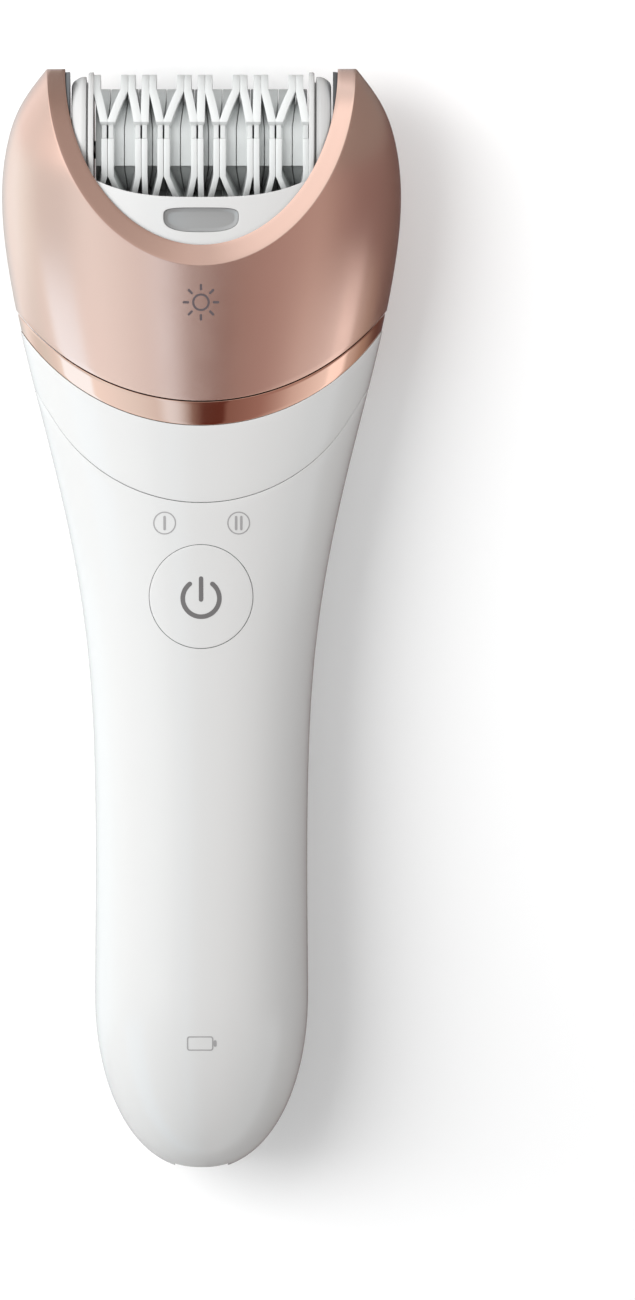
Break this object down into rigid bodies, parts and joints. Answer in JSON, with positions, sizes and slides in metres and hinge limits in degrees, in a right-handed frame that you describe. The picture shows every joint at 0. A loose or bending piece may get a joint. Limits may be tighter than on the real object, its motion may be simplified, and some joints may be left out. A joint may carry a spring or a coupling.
{
  "type": "epilator",
  "caption": "Hand-held cordless epilator with a white handle, a rose metallic two-horned head, a geared tweezer drum, a skin light and a round power button.",
  "frame": {"origin": "under the middle of the length, on the plane that the epilator's back rests on", "axes": "+Z out of the front face, +Y towards the tweezer head, +X to the right seen from the front"},
  "size_m": [0.0664, 0.1827, 0.0358],
  "materials": {
    "white_plastic": "gloss",
    "rose_metallic": "satin metallic lacquer",
    "rose_polished": "polished metallised",
    "disc_plastic": "satin",
    "steel": "satin",
    "inner_plastic": "matte",
    "gear_plastic": "matte",
    "rubber": "matte",
    "board": "matte",
    "clear_grey": "gloss",
    "brass": "satin",
    "battery_wrap": "gloss"
  },
  "bodies": {
    "handle": {"front_shell": "white_plastic", "rear_shell": "white_plastic", "upper_collar": "white_plastic", "accent_ring": "rose_polished", "socket_housing": "inner_plastic", "socket_pin_left": "brass", "socket_pin_right": "brass", "battery_cell": "battery_wrap", "battery_tab_bottom": "brass", "battery_tab_top": "brass", "circuit_board": "board", "button_switch": "inner_plastic", "speed_light_one": "clear_grey", "speed_light_two": "clear_grey", "battery_light": "clear_grey", "motor_can": "steel", "motor_mount": "steel", "motor_screw_left": "steel", "motor_screw_right": "steel", "bulkhead": "white_plastic", "shaft_seal": "rubber"},
    "power_button": {"power_button": "white_plastic"},
    "release_button": {"release_button": "white_plastic", "release_spring": "steel"},
    "rotor": {"motor_shaft": "steel", "drive_pinion": "brass"},
    "head": {"head_shell": "rose_metallic", "head_frame": "white_plastic", "head_base": "inner_plastic", "light_lens": "clear_grey", "light_board": "board", "light_emitter": "clear_grey", "side_plate_left": "steel", "side_plate_right": "steel", "idler_pin": "steel"},
    "drum": {"spindle": "steel", "drum_gear": "gear_plastic", "end_hub_left": "white_plastic", "end_hub_right": "white_plastic", "tweezer_disc_01": "disc_plastic", "tweezer_disc_02": "disc_plastic", "tweezer_disc_03": "disc_plastic", "tweezer_disc_04": "disc_plastic", "tweezer_disc_05": "disc_plastic", "tweezer_disc_06": "disc_plastic", "tweezer_disc_07": "disc_plastic", "tweezer_disc_08": "disc_plastic", "tweezer_disc_09": "disc_plastic", "tweezer_disc_10": "disc_plastic", "tweezer_disc_11": "disc_plastic", "tweezer_disc_12": "disc_plastic", "tweezer_disc_13": "disc_plastic", "tweezer_disc_14": "disc_plastic", "tweezer_disc_15": "disc_plastic"},
    "counter_train": {"countershaft": "steel", "crown_gear": "gear_plastic", "counter_gear": "gear_plastic"},
    "idler": {"idler_gear": "gear_plastic"}
  },
  "joints": [
    {"name": "power_press", "type": "slide", "parent": "handle", "child": "power_button", "axis": [0, 0, -1], "range_m": [0, 0.0006], "stiffness_N_per_m": 2000, "springref_m": -0.0006},
    {"name": "release_press", "type": "slide", "parent": "handle", "child": "release_button", "axis": [0, 0, 1], "range_m": [0, 0.0012], "stiffness_N_per_m": 1200, "springref_m": -0.0008, "deforming": ["release_spring"]},
    {"name": "rotor_spin", "type": "hinge", "parent": "handle", "child": "rotor", "pos_m": [0, 0, 0.0175], "axis": [0, 1, 0], "continuous": true},
    {"name": "head_lift", "type": "slide", "parent": "handle", "child": "head", "axis": [0, 1, 0], "range_m": [0, 0.03]},
    {"name": "drum_spin", "type": "hinge", "parent": "head", "child": "drum", "pos_m": [0, 0.0782, 0.0175], "axis": [1, 0, 0], "continuous": true},
    {"name": "counter_spin", "type": "hinge", "parent": "head", "child": "counter_train", "pos_m": [0, 0.047, 0.0175], "axis": [1, 0, 0], "continuous": true},
    {"name": "idler_spin", "type": "hinge", "parent": "head", "child": "idler", "pos_m": [0, 0.0622, 0.0175], "axis": [1, 0, 0], "continuous": true}
  ],
  "couplings": [
    {"joint": "idler_spin", "follows": "drum_spin", "ratio": -0.66667},
    {"joint": "counter_spin", "follows": "drum_spin", "ratio": 1.1429},
    {"joint": "rotor_spin", "follows": "drum_spin", "ratio": 3.2}
  ]
}
